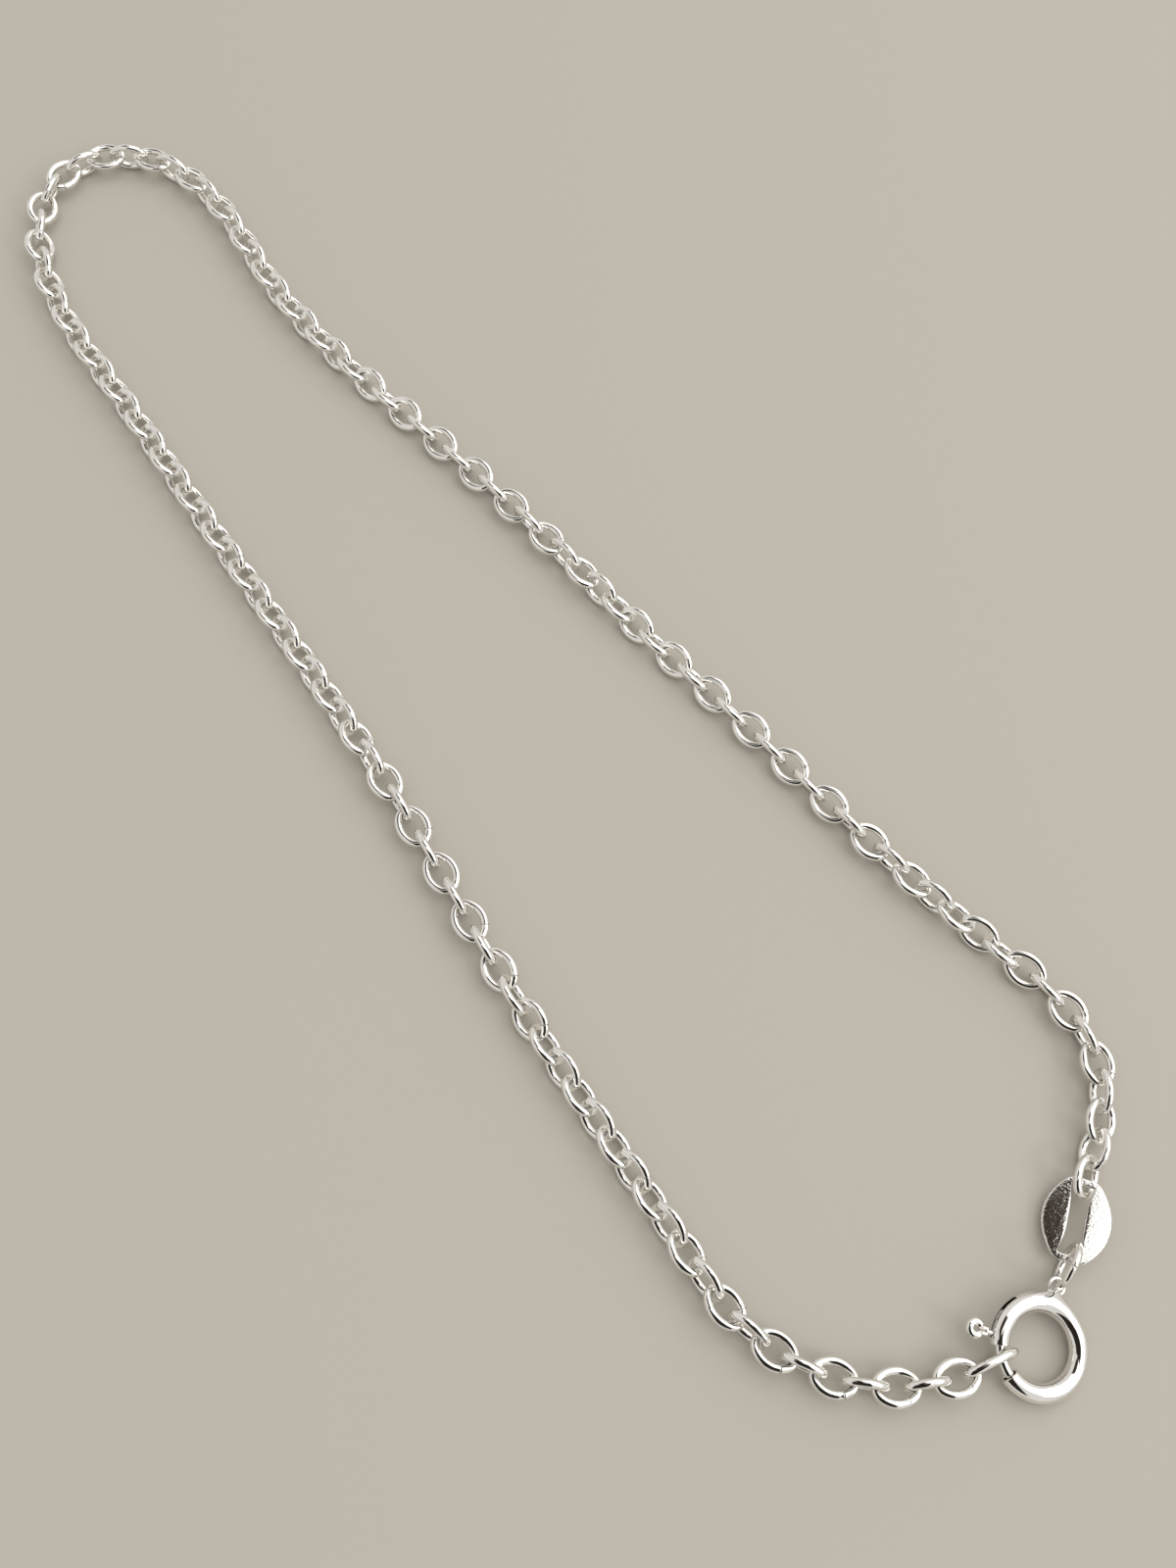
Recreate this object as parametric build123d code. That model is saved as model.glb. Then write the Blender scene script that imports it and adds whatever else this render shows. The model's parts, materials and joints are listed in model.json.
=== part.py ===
from build123d import *
import math
import os

# A fine silver cable-chain anklet, fastened and laid down in one long loop. Millimetres, +Z up.
# The loop lies along Y: the bolt-ring clasp and the little tag link are at its -Y end, the plain
# turn of chain at its +Y end. The origin is the middle of the whole anklet's box, on the surface
# it rests on.

# ---- chain -------------------------------------------------------------------------------------
WIRE = 0.53                 # diameter of the round wire
LINK_LENGTH = 3.07          # over the outside
LAST_LINK_LENGTH = 3.80     # the link that hangs on the bolt is a longer one
LINK_WIDTH = 2.33
LINK_END_RADIUS = 0.69      # of the wire's centre line, where the next link sits
LINK_COUNT = 124
TAG_SIDE_LINKS = 62         # the first half; the other half ends in the clasp
BAR_IN_LINK = 0.42          # from an end link's middle to the bar that it is hooked on
HALF_LENGTH = (LINK_LENGTH - WIRE) / 2
HALF_WIDTH = (LINK_WIDTH - WIRE) / 2
LAST_LINK_EXTRA = (LAST_LINK_LENGTH - LINK_LENGTH) / 2

# ---- bolt ring ---------------------------------------------------------------------------------
RING_OUTSIDE = 6.2
TUBE = 1.15                 # outside diameter of the bent tube
TUBE_WALL = 0.17
RING_RADIUS = (RING_OUTSIDE - TUBE) / 2
GATE_START = 110.0          # the gap in the tube, in degrees round from the eyelet
GATE_END = 149.0
LINK_ON_BOLT = 126.0        # where the last link hangs on the bolt
BOLT_WIRE = 0.62
BOLT_TIP = GATE_END + 6.0   # the closed bolt stands this far into the tube
BOLT_TAIL = 80.0
BOLT_ROUND = 0.15           # rounding of the rod's two ends
BOLT_TRAVEL = 45.0          # degrees that the thumb draws it back
KNOB_ANGLE = 98.0
KNOB_WIRE = 0.40
KNOB_OUTSIDE = 1.25
KNOB_STAND_OFF = 0.42       # from the tube to the knob
KNOB_STEM = 0.30
SLOT_WIDTH = 0.44
SLOT_SPARE = 4.5            # degrees of slot left beyond the stem at each end of its travel
# The flared neck between the tube and the eyelet.
# columns: distance from the ring's centre, width, height
NECK_SECTIONS = [
    (2.80, 1.90, 0.70),
    (3.10, 1.00, 0.60),
    (3.29, 0.60, 0.30),
]
EYELET_RADIUS = 0.485       # of the eyelet's wire centre line
EYELET_WIRE = 0.20
EYELET_REACH = 3.70         # ring centre to eyelet centre
RING_LIFT_ANGLE = 72.0      # the ring leans up on this side, over the wires under it
RING_LIFT = 8.5

# ---- jump ring ---------------------------------------------------------------------------------
JUMP_WIRE = 0.46
JUMP_OUTSIDE = 3.2
JUMP_LEAN = -5.0            # from upright
JUMP_CUT = 0.05             # the butted joint
JUMP_CUT_ANGLE = 98.0

# ---- tag link ----------------------------------------------------------------------------------
TAG_LENGTH = 5.2
TAG_WIDTH = 4.1
TAG_END_WIDTH = 1.7         # across each flat end
TAG_BAR = 0.44              # width of each end bar
TAG_EDGE = 0.30             # thickness at the rim
TAG_CROWN = 0.44            # thickness on the middle line
TAG_SLOT_END = 1.54         # width of the opening at its ends
TAG_SLOT_WAIST = 0.95       # and between the two leaves
TAG_SLOT_SKEW = 0.45        # each leaf is fullest this far off the middle, on opposite sides
TAG_CORNER = 0.35           # rounding of its four outer corners
TAG_SLOT_CORNER = 0.22
TAG_ROLL = -16.5
TAG_HEIGHTS = (1.10, 1.20)  # of its middle, at the clasp's bar and at the chain's bar

# ---- how the anklet lies -----------------------------------------------------------------------
RING_CENTRE = (0.02, -51.49)
EYELET_HEADING = 27.0       # from the ring's centre, in degrees from +X
JUMP_HEADING = 20.0
TAG_HEADING = 30.0
JUMP_TO_TAG = 1.80          # eyelet centre to the middle of the tag's first bar

# Middle line of the chain on the surface, from the tag round to the bolt ring.
# columns: x, y
ROUTE = [
    (12.1, -45.45),
    (15.55, -42.15),
    (16.45, -37.85),
    (15.9, -33.45),
    (14.9, -28.0),
    (14.2, -22.2),
    (13.4, -11.1),
    (12.4, -0.2),
    (11.4, 13.1),
    (10.1, 24.0),
    (9.1, 33.6),
    (9.3, 40.0),
    (10.2, 46.2),
    (10.0, 51.5),
    (7.4, 56.1),
    (2.8, 57.3),
    (-1.3, 54.7),
    (-3.9, 49.9),
    (-5.1, 44.6),
    (-5.6, 37.8),
    (-6.5, 26.8),
    (-7.3, 16.4),
    (-8.1, 6.6),
    (-9.2, -3.2),
    (-10.9, -14.9),
    (-12.0, -26.0),
    (-12.7, -34.0),
    (-12.9, -38.9),
    (-11.5, -43.3),
    (-8.8, -46.9),
    (-5.4, -49.25),
]

# Twist of the chain. Every second link lies at this roll, those between stand across it.
# columns: link, roll in degrees (0 flat, 90 on edge)
ROLL = [
    (0, 37),
    (8, -34),
    (17, -117),
    (21, -117),
    (27, -137),
    (33, -192),
    (36, -207),
    (39, -210),
    (44, -238),
    (50, -242),
    (68, -308),
    (90, -305),
    (95, -261),
    (99, -261),
    (105, -218),
    (110, -218),
    (117, -180),
    (123, -189),
]


def polar(centre, heading, distance):
    """The point at a distance from centre, along a heading in degrees from +X."""
    angle = math.radians(heading)
    return Vector(centre[0] + distance * math.cos(angle), centre[1] + distance * math.sin(angle))


def between(table, at):
    """The second column of a table at a value of the first, straight between its rows."""
    for (start, low), (end, high) in zip(table, table[1:]):
        if at <= end:
            return low + (high - low) * (at - start) / (end - start)
    return table[-1][1]


# ---- pieces in their own frames ----------------------------------------------------------------
def oval_link(length):
    """One closed oval link: round wire along four arcs, long way on X, flat in XY."""
    half_length = (length - WIRE) / 2
    end_centre = half_length - LINK_END_RADIUS
    side_radius = end_centre ** 2 + HALF_WIDTH ** 2 - LINK_END_RADIUS ** 2
    side_radius /= 2 * (HALF_WIDTH - LINK_END_RADIUS)
    turn = math.atan2(side_radius - HALF_WIDTH, end_centre)
    x = end_centre + LINK_END_RADIUS * math.cos(turn)
    y = LINK_END_RADIUS * math.sin(turn)
    path = Wire([
        ThreePointArc((x, -y), (half_length, 0), (x, y)),
        ThreePointArc((x, y), (0, HALF_WIDTH), (-x, y)),
        ThreePointArc((-x, y), (-half_length, 0), (-x, -y)),
        ThreePointArc((-x, -y), (0, -HALF_WIDTH), (x, -y)),
    ])
    section = Plane(origin=path @ 0, z_dir=path % 0) * Circle(WIRE / 2)
    return sweep(section, path=path)


def bent_rod(diameter, bend_radius, start, end):
    """A round rod bent about Z at bend_radius, from one angle to another in degrees."""
    section = Plane.XZ * Pos(bend_radius, 0) * Circle(diameter / 2)
    return Rot(0, 0, start) * revolve(section, axis=Axis.Z, revolution_arc=end - start)


def bolt_ring_body():
    """The hollow tube bent round Z, its gate, thumb slot, flared neck and eyelet on +X."""
    whole = 360 + GATE_START - GATE_END
    tube = bent_rod(TUBE, RING_RADIUS, GATE_END, GATE_END + whole)
    tube = fillet(tube.edges().filter_by(GeomType.CIRCLE).sort_by(Edge.length)[:2], TUBE_WALL / 2)
    bore_section = Plane.XZ * Pos(RING_RADIUS, 0) * Circle(TUBE / 2 - TUBE_WALL)
    bore = revolve(bore_section, axis=Axis.Z, revolution_arc=360)

    neck = loft([
        Plane.YZ.offset(distance) * Ellipse(width / 2, height / 2)
        for distance, width, height in NECK_SECTIONS
    ])
    eyelet = Pos(EYELET_REACH, 0, 0) * Torus(EYELET_RADIUS, EYELET_WIRE / 2)

    slot_start = KNOB_ANGLE - BOLT_TRAVEL - SLOT_SPARE
    slot_end = KNOB_ANGLE + SLOT_SPARE
    slot_section = Plane.XZ * Pos(RING_RADIUS + TUBE / 2, 0) * Rectangle(TUBE / 2, SLOT_WIDTH)
    slot = revolve(slot_section, axis=Axis.Z, revolution_arc=slot_end - slot_start)
    return tube + neck + eyelet - bore - Rot(0, 0, slot_start) * slot


def bolt():
    """The sliding bolt inside the tube, with its stem and looped thumb knob outside."""
    rod = bent_rod(BOLT_WIRE, RING_RADIUS, BOLT_TAIL, BOLT_TIP)
    rod = fillet(rod.edges().filter_by(GeomType.CIRCLE).sort_by(Edge.length)[:2], BOLT_ROUND)
    loop_radius = (KNOB_OUTSIDE - KNOB_WIRE) / 2
    loop_centre = RING_RADIUS + TUBE / 2 + KNOB_STAND_OFF + KNOB_OUTSIDE / 2
    loop = Pos(loop_centre, 0, 0) * Torus(loop_radius, KNOB_WIRE / 2)
    stem_length = loop_centre - loop_radius - RING_RADIUS
    stem = Plane.YZ.offset(RING_RADIUS) * Circle(KNOB_STEM / 2)
    knob = loop + extrude(stem, amount=stem_length)
    return rod + Rot(0, 0, KNOB_ANGLE) * knob


def jump_ring():
    """A round ring of wire in the XZ plane, cut through at one place and closed up again."""
    radius = (JUMP_OUTSIDE - JUMP_WIRE) / 2
    cut_turn = math.degrees(JUMP_CUT / radius)
    ring = bent_rod(JUMP_WIRE, radius, 0, 360 - cut_turn)
    return Rot(90, 0, 0) * Rot(0, 0, JUMP_CUT_ANGLE) * ring


def tag_link():
    """Two leaves joined by a bar at each end, its long way on X and its crown up."""
    end = TAG_LENGTH / 2
    half_end = TAG_END_WIDTH / 2
    side = TAG_WIDTH / 2
    outline = make_face([
        ThreePointArc((-end, half_end), (0, side), (end, half_end)),
        Line((end, half_end), (end, -half_end)),
        ThreePointArc((end, -half_end), (0, -side), (-end, -half_end)),
        Line((-end, -half_end), (-end, half_end)),
    ])
    inside = end - TAG_BAR
    half_slot = TAG_SLOT_END / 2
    half_waist = TAG_SLOT_WAIST / 2
    opening = make_face([
        ThreePointArc((-inside, half_slot), (-TAG_SLOT_SKEW, half_waist), (inside, half_slot)),
        Line((inside, half_slot), (inside, -half_slot)),
        ThreePointArc((inside, -half_slot), (TAG_SLOT_SKEW, -half_waist), (-inside, -half_slot)),
        Line((-inside, -half_slot), (-inside, half_slot)),
    ])
    rounded = fillet(outline.vertices(), TAG_CORNER)
    window = fillet(opening.vertices(), TAG_SLOT_CORNER)
    plate = extrude(rounded - window, amount=TAG_CROWN)
    rise = TAG_CROWN - TAG_EDGE
    crown_radius = (side ** 2 + rise ** 2) / (2 * rise)
    crown = Pos(0, 0, TAG_CROWN / 2 - crown_radius) * Rot(0, 90, 0) * Cylinder(
        crown_radius, 2 * TAG_LENGTH)
    return Pos(0, 0, -TAG_CROWN / 2) * plate & crown


# ---- where they lie ----------------------------------------------------------------------------
def ring_location():
    """Frame of the bolt ring: Z its own axis, X towards the eyelet."""
    lift = math.radians(RING_LIFT)
    height = TUBE / 2 + RING_RADIUS * math.sin(lift)
    toward = math.radians(EYELET_HEADING + RING_LIFT_ANGLE)
    hinge = (math.sin(toward), -math.cos(toward), 0)
    lean = Location((RING_CENTRE[0], RING_CENTRE[1], height), hinge, RING_LIFT)
    return lean * Rot(0, 0, EYELET_HEADING)


def jump_location(ring):
    """Frame of the jump ring: its wire goes up through the eyelet on its own -X side."""
    radius = (JUMP_OUTSIDE - JUMP_WIRE) / 2
    lean = math.radians(JUMP_LEAN)
    height = radius * math.cos(lean) + JUMP_WIRE / 2
    eyelet = (ring * Pos(EYELET_REACH, 0, 0)).position
    below = (height - eyelet.Z) / math.cos(lean)
    along = math.sqrt(radius ** 2 - below ** 2)
    heading = math.radians(JUMP_HEADING)
    side = below * math.sin(lean)
    x = eyelet.X + along * math.cos(heading) + side * math.sin(heading)
    y = eyelet.Y + along * math.sin(heading) - side * math.cos(heading)
    return Location((x, y, height)) * Rot(0, 0, JUMP_HEADING) * Rot(JUMP_LEAN, 0, 0)


def tag_location(ring):
    """Frame of the tag link, and the middle of its far bar, where the chain starts."""
    eyelet = (ring * Pos(EYELET_REACH, 0, 0)).position
    near = polar((eyelet.X, eyelet.Y), JUMP_HEADING, JUMP_TO_TAG)
    span = TAG_LENGTH - TAG_BAR
    slope = math.degrees(math.asin((TAG_HEIGHTS[1] - TAG_HEIGHTS[0]) / span))
    middle = polar((near.X, near.Y), TAG_HEADING, span / 2)
    height = (TAG_HEIGHTS[0] + TAG_HEIGHTS[1]) / 2
    frame = Location((middle.X, middle.Y, height)) * Rot(0, 0, TAG_HEADING)
    frame = frame * Rot(0, -slope, 0) * Rot(TAG_ROLL, 0, 0)
    return frame, (frame * Pos(span / 2, 0, 0)).position


def chain_height(link):
    """Height of the chain's middle line where its lower wires touch the surface."""
    roll = math.radians(between(ROLL, link))
    return HALF_WIDTH * max(abs(math.sin(roll)), abs(math.cos(roll))) + WIRE / 2


def hinge_shift(joint):
    """How far past the half-way point a link and the one before it turn on each other."""
    flat_before = math.cos(math.radians(2 * between(ROLL, joint - 1) + 180 * (joint - 1)))
    flat_after = math.cos(math.radians(2 * between(ROLL, joint) + 180 * joint))
    return LINK_END_RADIUS / 2 * (flat_after - flat_before) / 2


def link_locations(start, end):
    """One frame for each link from the tag's bar to the bolt: X along it, turned by the twist."""
    points = [(start.X, start.Y)] + ROUTE + [(end.X, end.Y)]
    line = Spline([Vector(x, y) for x, y in points])
    pitch = (line.length - 2 * BAR_IN_LINK - 2 * LAST_LINK_EXTRA) / (LINK_COUNT - 1)
    hinges = [start]
    for joint in range(1, LINK_COUNT):
        distance = BAR_IN_LINK + (joint - 0.5) * pitch + hinge_shift(joint)
        point = line.position_at(distance, position_mode=PositionMode.LENGTH)
        height = max(chain_height(joint - 1), chain_height(joint))
        hinges.append(Vector(point.X, point.Y, height))
    hinges.append(end)

    places = []
    for number in range(LINK_COUNT):
        along = (hinges[number + 1] - hinges[number]).normalized()
        if number == 0:
            middle = start + along * BAR_IN_LINK
        elif number == LINK_COUNT - 1:
            middle = end - along * (BAR_IN_LINK + LAST_LINK_EXTRA)
        else:
            before = pitch / 2 - hinge_shift(number)
            after = pitch / 2 + hinge_shift(number + 1)
            share = before / (before + after)
            middle = hinges[number] * (1 - share) + hinges[number + 1] * share
        level = Plane(origin=middle, x_dir=along, z_dir=Vector(0, 0, 1) - along * along.Z)
        places.append(level.location * Rot(between(ROLL, number) + 90 * (number % 2), 0, 0))
    print("link pitch", round(pitch, 4), "of", round(2 * HALF_LENGTH - LINK_END_RADIUS, 4))
    return places


def overall_box(shapes):
    """Lowest and highest corners of all the shapes together."""
    boxes = [shape.bounding_box() for shape in shapes]
    lowest = [min(tuple(box.min)[axis] for box in boxes) for axis in range(3)]
    highest = [max(tuple(box.max)[axis] for box in boxes) for axis in range(3)]
    return Vector(*lowest), Vector(*highest)


def build():
    """Every node of the anklet in place, its box centred on the origin and standing on Z = 0."""
    ring = ring_location()
    tag_frame, chain_start = tag_location(ring)
    chain_end = (ring * Rot(0, 0, LINK_ON_BOLT) * Pos(RING_RADIUS, 0, 0)).position
    link = oval_link(LINK_LENGTH).solid()
    places = link_locations(chain_start, chain_end)
    links = [place * link for place in places[:-1]]
    links.append(places[-1] * oval_link(LAST_LINK_LENGTH).solid())
    nodes = {
        "chain_tag_side": Compound(children=links[:TAG_SIDE_LINKS]),
        "chain_clasp_side": Compound(children=links[TAG_SIDE_LINKS:]),
        "tag_link": tag_frame * tag_link(),
        "jump_ring": jump_location(ring) * jump_ring(),
        "bolt_ring_body": ring * bolt_ring_body(),
        "bolt": ring * bolt(),
    }
    lowest, highest = overall_box(nodes.values())
    middle = (lowest + highest) / 2
    to_origin = Pos(-middle.X, -middle.Y, -lowest.Z)
    frame = to_origin * ring
    print("size", highest - lowest)
    print("ring centre", frame.position, "axis", frame.z_axis.direction)
    return {name: to_origin * shape for name, shape in nodes.items()}


os.makedirs("parts", exist_ok=True)
for node_name, node_shape in build().items():
    export_step(node_shape, f"parts/{node_name}.step")
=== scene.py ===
import json
import math
import random

import bpy
import numpy as np
from mathutils import Matrix, Quaternion, Vector


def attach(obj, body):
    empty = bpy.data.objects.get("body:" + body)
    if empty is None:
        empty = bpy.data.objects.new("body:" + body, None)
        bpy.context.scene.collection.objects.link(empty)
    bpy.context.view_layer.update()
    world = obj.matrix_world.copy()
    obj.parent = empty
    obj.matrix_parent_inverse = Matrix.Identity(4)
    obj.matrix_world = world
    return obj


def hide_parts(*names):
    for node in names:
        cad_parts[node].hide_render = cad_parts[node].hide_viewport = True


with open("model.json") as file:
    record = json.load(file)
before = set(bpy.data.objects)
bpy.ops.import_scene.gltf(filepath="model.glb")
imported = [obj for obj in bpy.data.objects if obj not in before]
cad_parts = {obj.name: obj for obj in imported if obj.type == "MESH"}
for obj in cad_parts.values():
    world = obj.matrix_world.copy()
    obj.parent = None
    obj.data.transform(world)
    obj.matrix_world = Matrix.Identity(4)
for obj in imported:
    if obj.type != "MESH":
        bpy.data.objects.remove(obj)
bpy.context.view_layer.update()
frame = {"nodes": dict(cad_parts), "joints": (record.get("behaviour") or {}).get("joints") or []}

# A polished silver cable-chain anklet, lying fastened on a pale floor. Blender works in metres.
# The sizes of the pieces and of the cards are in millimetres, scaled by MM. Angles are in degrees.
MM = 0.001
RANDOM_SEED = 7
WELD_WITHIN = 1e-4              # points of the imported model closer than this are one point
SHARP_FROM = 50                 # edges that turn more than this are shaded sharp
END_CAP = 0.02                  # a rod's end is closed by a disc of this share of its radius

# ---- camera ------------------------------------------------------------------------------------
CAMERA_AT = (-0.0286, -0.0312, 0.0856)
CAMERA_HEADING = 37.2           # from +X
CAMERA_DOWN = 66.9
CAMERA_ROLL = 14.0
FOCAL_LENGTH = 42.0
SENSOR_WIDTH = 36.0
CAMERA_CLIP = (0.001, 20.0)     # metres

# ---- chain links -------------------------------------------------------------------------------
LINK_END_RADIUS = 0.69          # of the wire's centre line
LINK_SECTIONS = 64
LINK_SIDES = 20
SEAM_PLACE = 0.13               # share of the way round from the tip of one end to the solder seam
SEAM_STEPS = (                  # sections are closer together here, measured from the seam
    -0.16, -0.11, -0.08, -0.055, -0.035, -0.018, 0.0, 0.018, 0.035, 0.055, 0.08, 0.11, 0.16,
)
SEAM_TOWARDS = Vector((0.25, -0.97, 0.0))       # the seams lie at this end and side of the links
SEAM_SWELL = 0.018              # the solder stands this proud of the wire
SEAM_SWELL_REACH = 0.09         # along the wire
SEAM_CREASE = 0.030             # and is creased this deep along the joint, where that is plain
SEAM_CREASE_REACH = 0.024
SEAM_GRIME_REACH = 0.045
SEAM_STRAY = 0.015              # how far it strays from its place, as a share of the way round
SEAM_FAINTEST, SEAM_PLAINEST = 0.15, 1.0        # how plain the joint is, drawn for each link
WIRE_UNEVEN = 0.006

# ---- bolt ring ---------------------------------------------------------------------------------
RING_RADIUS = 2.525             # of the tube's centre line
TUBE_RADIUS = 0.575
BORE_RADIUS = 0.405
RIM_ROUND = 0.045
TUBE_SIDES = 72
TUBE_SECTIONS = 131
NECK_SECTIONS = 41              # more of them within NECK_SPAN of the neck
NECK_SPAN = 15
GATE_START = 110.0              # angles round the ring are measured from the eyelet
GATE_END = 149.0
SLOT_START = 48.5               # the slot for the knob's stem
SLOT_END = 102.5
SLOT_COLUMNS = 5                # columns of the tube's grid on each side of the slot's middle
SLOT_HALF_WIDTH = 0.22
EYELET_HEADING = 27.0
EYELET_REACH = 3.70
EYELET_RADIUS = 0.485
EYELET_WIRE_RADIUS = 0.10
EYELET_ROOT = 0.05              # the eyelet's wire is this much fuller where it meets the neck
EYELET_ROOT_SPREAD = 0.6        # radians
EYELET_SECTIONS = 48
EYELET_SIDES = 16
NECK_RISE = 0.43                # the flare that the tube is drawn out into
NECK_HALF_WIDTH = 0.74
NECK_HALF_HEIGHT = 0.40
NECK_FALL = 0.72                # how steeply the flare dies away

# ---- bolt --------------------------------------------------------------------------------------
BOLT_RADIUS = 0.31
BOLT_START = 80.0               # the tail, hidden in the tube
BOLT_END = 155.0                # the tip, across the gate
BOLT_ROUND = 0.15
BOLT_SECTIONS = 40
BOLT_SIDES = 32
KNOB_ANGLE = 98.0
KNOB_REACH = 4.145              # ring centre to the middle of the knob's loop
KNOB_LOOP_RADIUS = 0.37
KNOB_WIRE_RADIUS = 0.25
STEM_RADIUS = 0.15
STEM_PAST_NIBS = 0.08
STEM_SECTIONS = 8
STEM_SIDES = 20
KNOB_NIB_REACH = 3.40           # where the two ends of the loop come together over the stem
KNOB_NIB_GAP = 0.14             # middle line to the middle of each end
KNOB_SLIT = 0.008               # half the slit between the two ends
KNOB_ROUND_TO = 135.0           # where the loop leaves its circle, degrees from the far side
KNOB_LEG_BEND = 0.15            # how far back the bend to each end sets in
KNOB_LEG_SECTIONS = 12
KNOB_LOOP_SECTIONS = 49
KNOB_SIDES = 24

# ---- jump ring ---------------------------------------------------------------------------------
JUMP_RADIUS = 1.37
JUMP_WIRE_RADIUS = 0.23
JUMP_CUT_ANGLE = 98.0
JUMP_CUT = 0.05
JUMP_MISMATCH = 0.025           # the two cut ends don't quite line up
JUMP_MISMATCH_OUTWARD = 0.4     # as a share of the same sideways
CUT_ROUND = 0.05
JUMP_SECTIONS = 90
JUMP_SIDES = 24

# ---- tag link ----------------------------------------------------------------------------------
TAG_HALF_LENGTH = 2.6
TAG_HALF_WIDTH = 2.05
TAG_HALF_END = 0.85             # half across each flat end
TAG_BAR = 0.44                  # width of the bar at each end of the slot
TAG_CROWN = 0.44                # thickness on the middle line
TAG_EDGE = 0.30                 # and at the rim
TAG_SLOT_HALF_END = 0.77
TAG_SLOT_HALF_WAIST = 0.475
TAG_SLOT_SKEW = 0.45            # each leaf is fullest this far off the middle
TAG_CORNER = 0.35
TAG_SLOT_CORNER = 0.22
TAG_RIM = 0.10                  # rounding of the rim and of the slot's edge
TAG_BOW = 0.05                  # the leaves fall away this much towards the two ends
TAG_HEADINGS = 240
TAG_EVENING = 0.30              # draws the headings together along the long sides
TAG_STRIPS = 7                  # across each leaf, on the top and on the bottom
OUTLINE_SEARCH = 4.0            # further out than any point of the outline
OUTLINE_HALVINGS = 40

# ---- metal -------------------------------------------------------------------------------------
SILVER = (0.95, 0.94, 0.92)
TARNISHED = (0.88, 0.865, 0.83)
TONE_AT = (0.25, 0.62)          # noise values of the tarnished and of the clean metal
GRIME = (0.40, 0.38, 0.35)      # in the pits of the tag and in the links' seams
TONE_NOISE = (900.0, 3.0)       # scale per metre, and detail
FINISH_NOISE = (2600.0, 4.0)
FINISH_SPREAD = (0.6, 1.6)      # how the roughness varies, as shares of its mean
DENT_NOISE = (1500.0, 2.0)
PIT_NOISE = (7000.0, 2.0)
PIT_DEPTHS = (0.52, 0.40)       # noise values where grime sets in and where it is thickest
PIT_GRIME = 0.40                # share of GRIME in the deepest pits
SEAM_ROUGHNESS = 0.22           # added where a seam is plainest
BUMP_DEPTH = 0.02
CHAIN_ROUGHNESS, CHAIN_WEAR = 0.09, 0.20
CLASP_ROUGHNESS, CLASP_WEAR = 0.08, 0.20
TAG_ROUGHNESS, TAG_WEAR, TAG_PITS = 0.12, 0.42, 1.7
MIX_FIRST, MIX_SECOND, MIX_RESULT = 6, 7, 2     # the colour sockets of a Mix node

# ---- light and floor ---------------------------------------------------------------------------
FLOOR_COLOUR = (0.52, 0.485, 0.43)
FLOOR_SHINE = 0.2
FLOOR_REACH = 3000
CARD_ROUGHNESS = 0.9            # of the floor and of the dark cards
WORLD_COLOUR = (1.0, 0.985, 0.96)
WORLD_STRENGTH = 0.64
BACKDROP_COLOUR = (0.72, 0.70, 0.665)           # beyond the floor, and mirrored in the silver
# Corners of the two dark cards that only show in the silver: one in the camera's plane, X to the
# right and Y up in the picture, and one that lies level, HIGH_CARD_UP over the floor.
VIEWER_CARD = [(-60, -140), (45, -140), (45, 6), (-60, 6)]
VIEWER_CARD_COLOUR = (0.04, 0.036, 0.032)
HIGH_CARD = [(-220, 90), (20, 50), (78, 38), (92, 60), (80, 400), (-220, 400)]
HIGH_CARD_COLOUR = (0.08, 0.058, 0.042)
HIGH_CARD_UP = 500
# The softboxes, with place and size in metres: place, size, radiance and colour.
OVERHEAD = ((0.28, -0.06, 0.55), (0.90, 0.90), 0.88, (1.0, 0.99, 0.97))
KEY = ((0.14, -0.40, 0.30), (0.14, 0.14), 4.5, (1.0, 0.98, 0.95))

# ---- bodies ------------------------------------------------------------------------------------
BODY = "anklet"
BOLT_BODY = "bolt"


# ---- mesh helpers ------------------------------------------------------------------------------
def new_object(name, points, faces, place=None):
    """A smooth-shaded mesh object from points in millimetres, in the frame of place."""
    mesh = bpy.data.meshes.new(name)
    points = np.asarray(points, float) * MM
    if place is not None:
        turn = np.array(place.to_3x3())
        points = points @ turn.T + np.array(place.translation)
    mesh.from_pydata(points.tolist(), [], faces)
    mesh.polygons.foreach_set("use_smooth", [True] * len(mesh.polygons))
    mesh.update()
    thing = bpy.data.objects.new(name, mesh)
    bpy.context.scene.collection.objects.link(thing)
    return thing


def grid_faces(rows, columns, first=0, close_rows=False, skip=None):
    """Quads over a grid of points whose columns close on themselves."""
    faces = []
    for row in range(rows if close_rows else rows - 1):
        after = (row + 1) % rows
        for column in range(columns):
            if skip and skip(row, column):
                continue
            beside = (column + 1) % columns
            faces.append((
                first + row * columns + column,
                first + row * columns + beside,
                first + after * columns + beside,
                first + after * columns + column,
            ))
    return faces


def wire_sections(centres, radii, sides, normal, closed):
    """Round sections along a line that lies in the plane across normal, one row per centre."""
    centres = np.asarray(centres, float)
    if closed:
        along = np.roll(centres, -1, axis=0) - np.roll(centres, 1, axis=0)
    else:
        along = np.gradient(centres, axis=0)
    along /= np.linalg.norm(along, axis=1)[:, None]
    normal = np.asarray(normal, float)
    across = np.cross(along, normal)
    across /= np.linalg.norm(across, axis=1)[:, None]
    turn = 2 * math.pi * np.arange(sides) / sides
    ring = across[:, None] * np.cos(turn)[None, :, None] + normal * np.sin(turn)[None, :, None]
    return centres[:, None] + ring * np.asarray(radii, float)[:, None, None]


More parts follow.
